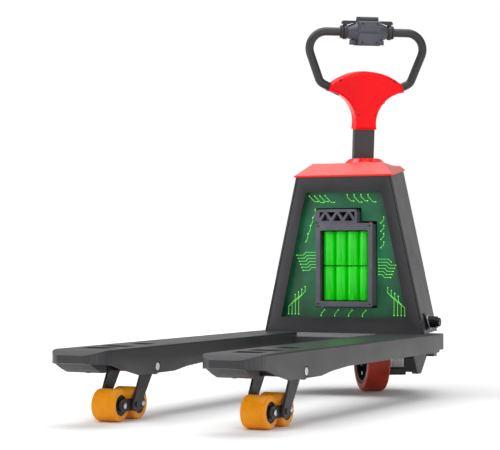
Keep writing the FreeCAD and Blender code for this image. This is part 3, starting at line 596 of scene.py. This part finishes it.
def cover_screws():
    """Dark socket screws on both faces of the cover, and two shallow rings on the front.

    The upper ones are deep in the cover's holes. The lower ones stand on its skin, which has no hole there.
    """
    in_hole, on_skin = 27.6, 30.4
    mesh = bmesh.new()
    for side in (-1, 1):
        for x, z, depth in ((-83, 248, in_hole), (83, 248, in_hole), (-25, 145, on_skin), (25, 145, on_skin)):
            turn(mesh, socket_head(3.2, 2.2), aim(tiller_point(x, side * depth, z), tiller_way(0, side, 0)))
    piece("cover_screws", mesh, "tiller", OXIDE)
    rings = bmesh.new()
    for x in (-48, 48):
        turn(rings, [(5.6, -0.5), (7.2, -0.5), (7.2, 0.25), (6.4, 0.6), (5.6, 0.25)],
             aim(tiller_point(x, -32, 185), tiller_way(0, -1, 0)))
    piece("cover_rings", rings, "tiller", RED)


def control_head_details():
    """Seam, raised plates and clamp screws of the control head, and the collars on the bar."""
    plates = bmesh.new()
    block(plates, (-29, -40.2, GRIP_Z + 2), (29, -36, GRIP_Z + 32), TILLER, 1.6)
    block(plates, (-29, -39.6, GRIP_Z - 35), (29, -36, GRIP_Z - 4), TILLER, 1.6)
    for side in (-1, 1):
        block(plates, (side * 31 - 3, -31, GRIP_Z - 20), (side * 31 + 3, 31, GRIP_Z + 20), TILLER, 1.4)
    piece("head_plates", plates, "tiller", GREY)
    seam = bmesh.new()
    block(seam, (-33.4, -38.5, GRIP_Z - 1.8), (33.4, 38.5, GRIP_Z - 0.4), TILLER, 0.3)
    piece("head_seam", seam, "tiller", BLACK)
    collars = bmesh.new()
    for side in (-1, 1):
        turn(collars, [(12.6, 0), (19.2, 0), (19.6, 1), (19.6, 5), (18.8, 6), (12.6, 6)],
             aim(tiller_point(side * 75, 0, GRIP_Z), tiller_way(side, 0, 0)))
    piece("bar_collars", collars, "tiller", BLACK)
    screws = bmesh.new()
    for x in (-22, 22):
        for z in (GRIP_Z - 30, GRIP_Z + 26):
            turn(screws, socket_head(2.6, 1.8), aim(tiller_point(x, -40.4, z), tiller_way(0, -1, 0)))
    piece("head_screws", screws, "tiller", OXIDE)


# ---------------------------------------------------------------- wheels

def load_wheel_details():
    """Bearing ring on both faces of each load wheel."""
    for side, end in WHEELS:
        low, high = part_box(f"load_hub_{side}_{end}")
        centre = (low + high) / 2
        for number, sign in (("outer", 1), ("inner", -1)):
            face = high.x if sign > 0 else low.x
            steel = bmesh.new()
            seat = aim((face - sign * 3.2 * MM, centre.y, centre.z), (sign, 0, 0))
            turn(steel, [(14, 0), (21.5, 0), (21.5, 1.0), (20.8, 1.5), (14.6, 1.5), (14, 1.0)], seat)
            piece(f"bearing_{side}_{end}_{number}", steel, f"load_wheel_{side}_{end}", OXIDE)


def axle_caps():
    """Bright domed ends on the load wheels' axles."""
    for side in ("right", "left"):
        low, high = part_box(f"bogie_{side}")
        mesh = bmesh.new()
        for end in ("front", "rear"):
            y, z = JOINTS[f"load_wheel_{side}_{end}_spin"]["pos_m"][1:]
            for x, outward in ((high.x, 1), (low.x, -1)):
                turn(mesh, [(0, 0), (7.6, 0), (7.6, 0.3), (6.4, 0.8), (3.4, 1.1), (0, 1.2)],
                     aim((x - outward * 0.2 * MM, y, z), (outward, 0, 0)))
        piece(f"axle_caps_{side}", mesh, f"bogie_{side}", ZINC)


def drive_wheel_details():
    """Hub screws between the drive wheel's windows."""
    web, screws, first = -4.4, 5, 54
    mesh = bmesh.new()
    for i in range(screws):
        a = math.radians(360 / screws * i + first)
        point = steer_point(web, HUB_WINDOW_R * math.cos(a), DRIVE_R + HUB_WINDOW_R * math.sin(a))
        turn(mesh, socket_head(5.5, 5), aim(point, steer_way(-1, 0, 0)))
    piece("drive_hub_screws", mesh, "drive_wheel", ZINC)


def motor_details():
    """Cooling rings, brake cap and cover screws of the wheel motor."""
    along = steer_way(1, 0, 0)
    bands = bmesh.new()
    for x in (76, 84, 92, 100):
        turn(bands, [(50.5, 0), (52.4, 0.4), (52.4, 2.2), (50.5, 2.6)],
             aim(steer_point(x, 0, DRIVE_R), along))
    piece("motor_cooling_rings", bands, "steer", MOTOR)
    cap = bmesh.new()
    turn(cap, [(30, 0), (43.4, 0), (43.4, 8), (41, 10), (30, 10)], aim(steer_point(127, 0, DRIVE_R), along))
    piece("brake_cap", cap, "steer", BLACK)
    count, circle, end = 6, 34, 137.6
    screws = bmesh.new()
    for i in range(count):
        a = math.radians(360 / count * i + 30)
        point = steer_point(end, circle * math.cos(a), DRIVE_R + circle * math.sin(a))
        turn(screws, socket_head(2.6, 2), aim(point, along))
    piece("brake_screws", screws, "steer", ZINC)


# ---------------------------------------------------------------- housing and forks

def side_pin_caps():
    """Pale washer and bright end on each side pin."""
    low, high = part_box("link_pins")
    y, z = 0.489, 0.215        # the pins' line
    plate_depth = 36           # from a pin's end to its square plate
    washers = bmesh.new()
    ends = bmesh.new()
    for outward, x in ((1, high.x), (-1, low.x)):
        plate = (x - outward * plate_depth * MM, y, z)
        turn(washers, washer(17.6, 22, 3), aim(plate, (outward, SIDE_TAPER, SIDE_SLOPE)))
        turn(ends, [(0, 0), (8.5, 0), (8.5, 0.5), (7.5, 1.2), (3.5, 1.6), (3, 0.8), (0, 0.8)],
             aim((x - outward * 1.8 * MM, y, z), (outward, 0, 0)))
    piece("side_pin_washers", washers, "fork_frame", ZINC)
    piece("side_pin_ends", ends, "fork_frame", ZINC)


def weld_beads():
    """Rippled welds where the crossbeam meets the forks."""
    low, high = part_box("crossbeam")
    mesh = bmesh.new()
    ripples, bead = 40, 1.7
    for x in (low.x, high.x):
        inward = 1 if x < 0 else -1
        for i in range(ripples):
            y = low.y + (high.y - low.y) * (i + 0.5) / ripples
            size = bead + rng.uniform(-0.25, 0.25)
            turn(mesh, [(0, -size), (size * 0.8, -size * 0.5), (size, 0), (size * 0.8, size * 0.5),
                        (0, size)],
                 aim((x + inward * 0.6 * MM, y, high.z - 1.2 * MM), (0, 1, 0.2)))
    piece("fork_welds", mesh, "fork_frame", POWDER)


def back_panel_screws():
    """Screws in the upper rear wall."""
    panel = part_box("back_panel")[1].y
    mesh = bmesh.new()
    for x in (-70, 70):
        for z in (470, 610):
            turn(mesh, socket_head(3.6, 2.4), aim((x * MM, panel - 0.1 * MM, z * MM), (0, 1, 0)))
    piece("back_panel_screws", mesh, "fork_frame", OXIDE)


def stop_collar():
    """Ring round the emergency stop's stem."""
    low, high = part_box("emergency_stop")
    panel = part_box("back_panel")[1].y
    centre = (low + high) / 2
    mesh = bmesh.new()
    turn(mesh, [(11.6, 0), (17, 0), (17, 1.2), (15.5, 2.6), (11.6, 2.6)],
         aim((centre.x, panel, centre.z), (0, 1, 0)))
    piece("stop_collar", mesh, "fork_frame", BLACK)


battery_cell_row()
battery_screws()
battery_ribs()
circuit_traces()
cover_screws()
control_head_details()
load_wheel_details()
axle_caps()
drive_wheel_details()
motor_details()
side_pin_caps()
weld_beads()
back_panel_screws()
stop_collar()


# ---------------------------------------------------------------- studio

def studio():
    """Floor, and air that lights the truck softly while the camera sees plain white."""
    half, below = 30.0, 0.0005
    mesh = bmesh.new()
    corners = [(-half, -half), (half, -half), (half, half), (-half, half)]
    mesh.faces.new([mesh.verts.new((x, y, -below)) for x, y in corners])
    data = bpy.data.meshes.new("studio_floor")
    mesh.to_mesh(data)
    mesh.free()
    data.materials.append(studio_floor())
    floor = bpy.data.objects.new("studio_floor", data)
    bpy.context.scene.collection.objects.link(floor)
    world = bpy.data.worlds.new("studio_air")
    world.use_nodes = True
    tree = world.node_tree
    tree.nodes.clear()
    backdrop = add(tree, "ShaderNodeBackground", values={"Strength": 1.0})
    backdrop.inputs["Color"].default_value = (1, 1, 1, 1)
    air = add(tree, "ShaderNodeBackground", values={"Strength": 0.42})
    air.inputs["Color"].default_value = (1, 1, 1, 1)
    seen = add(tree, "ShaderNodeLightPath").outputs["Is Camera Ray"]
    both = add(tree, "ShaderNodeMixShader", links={0: seen, 1: air.outputs[0], 2: backdrop.outputs[0]})
    add(tree, "ShaderNodeOutputWorld", links={"Surface": both.outputs[0]})
    bpy.context.scene.world = world


def softbox(name, place, target, size, watts):
    """Rectangular area light that faces a target."""
    light = bpy.data.lights.new(name, "AREA")
    light.shape = "RECTANGLE"
    light.size, light.size_y = size
    light.energy = watts
    made = bpy.data.objects.new(name, light)
    made.location = place
    made.rotation_euler = (Vector(target) - Vector(place)).to_track_quat("-Z", "Y").to_euler()
    bpy.context.scene.collection.objects.link(made)


def camera():
    """Long lens, low and to the front right."""
    data = bpy.data.cameras.new("camera")
    data.sensor_width = 36.0
    data.lens = 119.6
    made = bpy.data.objects.new("camera", data)
    made.location = (1.934, -4.051, 0.406)
    made.rotation_euler = Euler((math.radians(91.07), 0, math.radians(26.6)))
    bpy.context.scene.collection.objects.link(made)
    bpy.context.scene.camera = made


studio()
softbox("overhead", (-0.4, 0.0, 3.2), (0, 0.1, 0.3), (3.4, 4.4), 130)
softbox("front_fill", (2.9, -2.2, 1.9), (0, 0.2, 0.4), (1.0, 1.8), 26)
softbox("left_edge", (-2.6, -1.6, 1.3), (0, 0.2, 0.5), (0.7, 2.2), 22)
camera()
# plain display colours, so that saturated plastics keep their hue
bpy.context.scene.view_settings.view_transform = "Standard"
